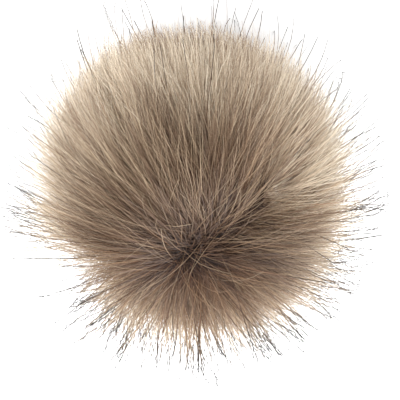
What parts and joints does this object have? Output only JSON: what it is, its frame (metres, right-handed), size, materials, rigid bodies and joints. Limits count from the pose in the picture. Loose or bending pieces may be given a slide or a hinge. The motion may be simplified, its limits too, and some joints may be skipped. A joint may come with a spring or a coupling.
{
  "type": "furry microphone windscreen",
  "caption": "Ball-type furry windscreen for a slim microphone: long-pile faux-fur cover over a foam-lined open cage, on a collar with a rubber bush and a knurled clamp nut.",
  "frame": {"origin": "middle of the collar's open end, on the plane the windscreen stands on", "axes": "+Z along the microphone's axis, from the collar up to the crown of the fur; the middle of gore 1 is towards +X"},
  "size_m": [0.1576, 0.1576, 0.149],
  "materials": {
    "faux_fur": "long soft pile, beige brown with darker guard hairs",
    "binding": "woven tape",
    "elastic": "braided elastic",
    "cage_plastic": "fine moulded texture",
    "screw_steel": "zinc plated",
    "foam": "open-cell foam",
    "collar_plastic": "satin moulded",
    "bush_rubber": "matt rubber",
    "nylon": "natural nylon",
    "nut_plastic": "satin, knurled"
  },
  "bodies": {
    "windscreen": {"fur_gore_1": "faux_fur", "fur_gore_2": "faux_fur", "fur_gore_3": "faux_fur", "fur_gore_4": "faux_fur", "hem_binding": "binding", "hem_elastic": "elastic", "cage_front": "cage_plastic", "cage_rear": "cage_plastic", "cage_joint_ring": "cage_plastic", "cage_screw_front_1": "screw_steel", "cage_screw_front_2": "screw_steel", "cage_screw_front_3": "screw_steel", "cage_screw_front_4": "screw_steel", "cage_screw_rear_1": "screw_steel", "cage_screw_rear_2": "screw_steel", "cage_screw_rear_3": "screw_steel", "cage_screw_rear_4": "screw_steel", "collar_screw_1": "screw_steel", "collar_screw_2": "screw_steel", "collar_screw_3": "screw_steel", "collar_screw_4": "screw_steel", "foam_liner_front": "foam", "foam_liner_rear": "foam", "base_collar": "collar_plastic", "collar_clamp_ring": "collar_plastic", "mic_bush": "bush_rubber"},
    "wedge": {"wedge_ring": "nylon"},
    "nut": {"clamp_nut": "nut_plastic"}
  },
  "joints": [
    {"name": "wedge_lift", "type": "slide", "parent": "windscreen", "child": "wedge", "axis": [0, 0, 1], "range_m": [0, 0.0015]},
    {"name": "nut_turn", "type": "hinge", "parent": "wedge", "child": "nut", "pos_m": [0, 0, 0.0095], "axis": [0, 0, 1], "range_deg": [0, 270]}
  ],
  "couplings": [
    {"joint": "wedge_lift", "follows": "nut_turn", "m_per_rad": 0.0003183}
  ]
}
